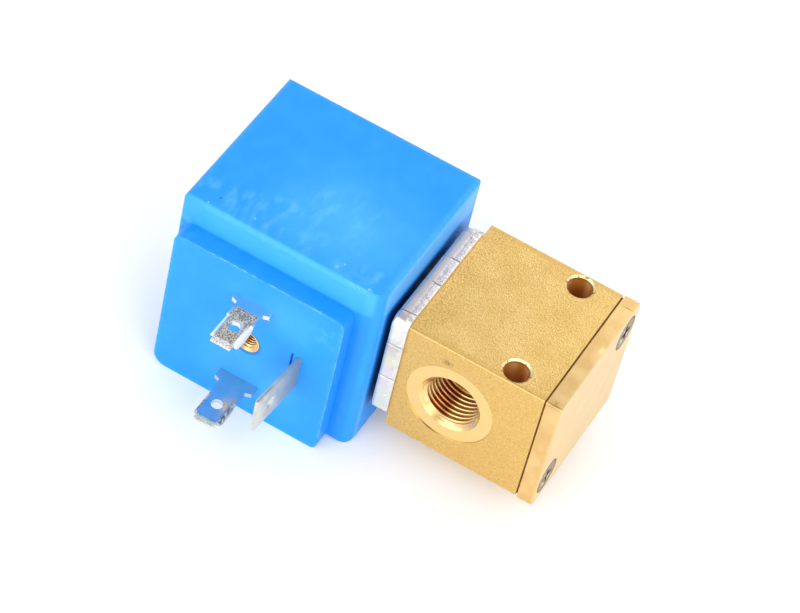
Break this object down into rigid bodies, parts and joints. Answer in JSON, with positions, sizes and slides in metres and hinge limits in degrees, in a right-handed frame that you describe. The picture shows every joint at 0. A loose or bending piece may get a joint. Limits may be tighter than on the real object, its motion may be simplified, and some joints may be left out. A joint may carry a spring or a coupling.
{
  "type": "solenoid valve",
  "caption": "Small direct-acting solenoid valve: brass block with threaded side ports, screwed end cover and flange plate, and a square moulded plug-in coil.",
  "frame": {"origin": "on the valve's axis, midway between the two mounting holes and at half the body's height", "axes": "+X along the valve's axis from the coil to the cover, +Z along the mounting holes, -Y out of the inlet port and the coil's plug face; the part lies on the coil's lower face"},
  "size_m": [0.0684, 0.0468, 0.0354],
  "materials": {
    "body_brass": "tumbled, finely grained, with bright machined port rings and bores",
    "cover_brass": "smooth drawn faces",
    "stainless": "turned",
    "zinc_steel": "zinc plated, slightly iridescent",
    "copper": "enamelled copper wire",
    "rubber": "matt",
    "gasket": "matt dark brown",
    "blue_moulding": "semi-matt azure moulding with pale scuffs",
    "bobbin_plastic": "natural glass-filled nylon",
    "tinned_brass": "tin plated, sparkling grain"
  },
  "bodies": {
    "valve": {"valve_body": "body_brass", "seat_nozzle": "stainless", "cover_gasket": "gasket", "cover_plate": "cover_brass", "cover_screws": "zinc_steel", "tube_o_ring": "rubber", "armature_tube": "stainless", "flange_plate": "zinc_steel", "flange_screws": "zinc_steel", "fixed_core": "stainless", "shading_ring": "copper", "return_spring": "stainless", "coil_gasket": "rubber", "coil_washer": "zinc_steel", "coil_nut": "zinc_steel"},
    "plunger": {"armature": "stainless", "armature_seal": "rubber"},
    "coil": {"coil_housing": "blue_moulding", "coil_bobbin": "bobbin_plastic", "copper_winding": "copper", "magnet_yoke": "zinc_steel", "winding_leads": "copper", "line_terminal_upper": "tinned_brass", "line_terminal_lower": "tinned_brass", "earth_terminal": "tinned_brass", "connector_insert": "body_brass"}
  },
  "joints": [
    {"name": "armature_slide", "type": "slide", "parent": "valve", "child": "plunger", "axis": [-1, 0, 0], "range_m": [0, 0.0012], "stiffness_N_per_m": 350, "springref_m": -0.007, "deforming": ["return_spring"]},
    {"name": "coil_swivel", "type": "hinge", "parent": "valve", "child": "coil", "pos_m": [-0.039, 0, 0], "axis": [1, 0, 0], "continuous": true}
  ]
}
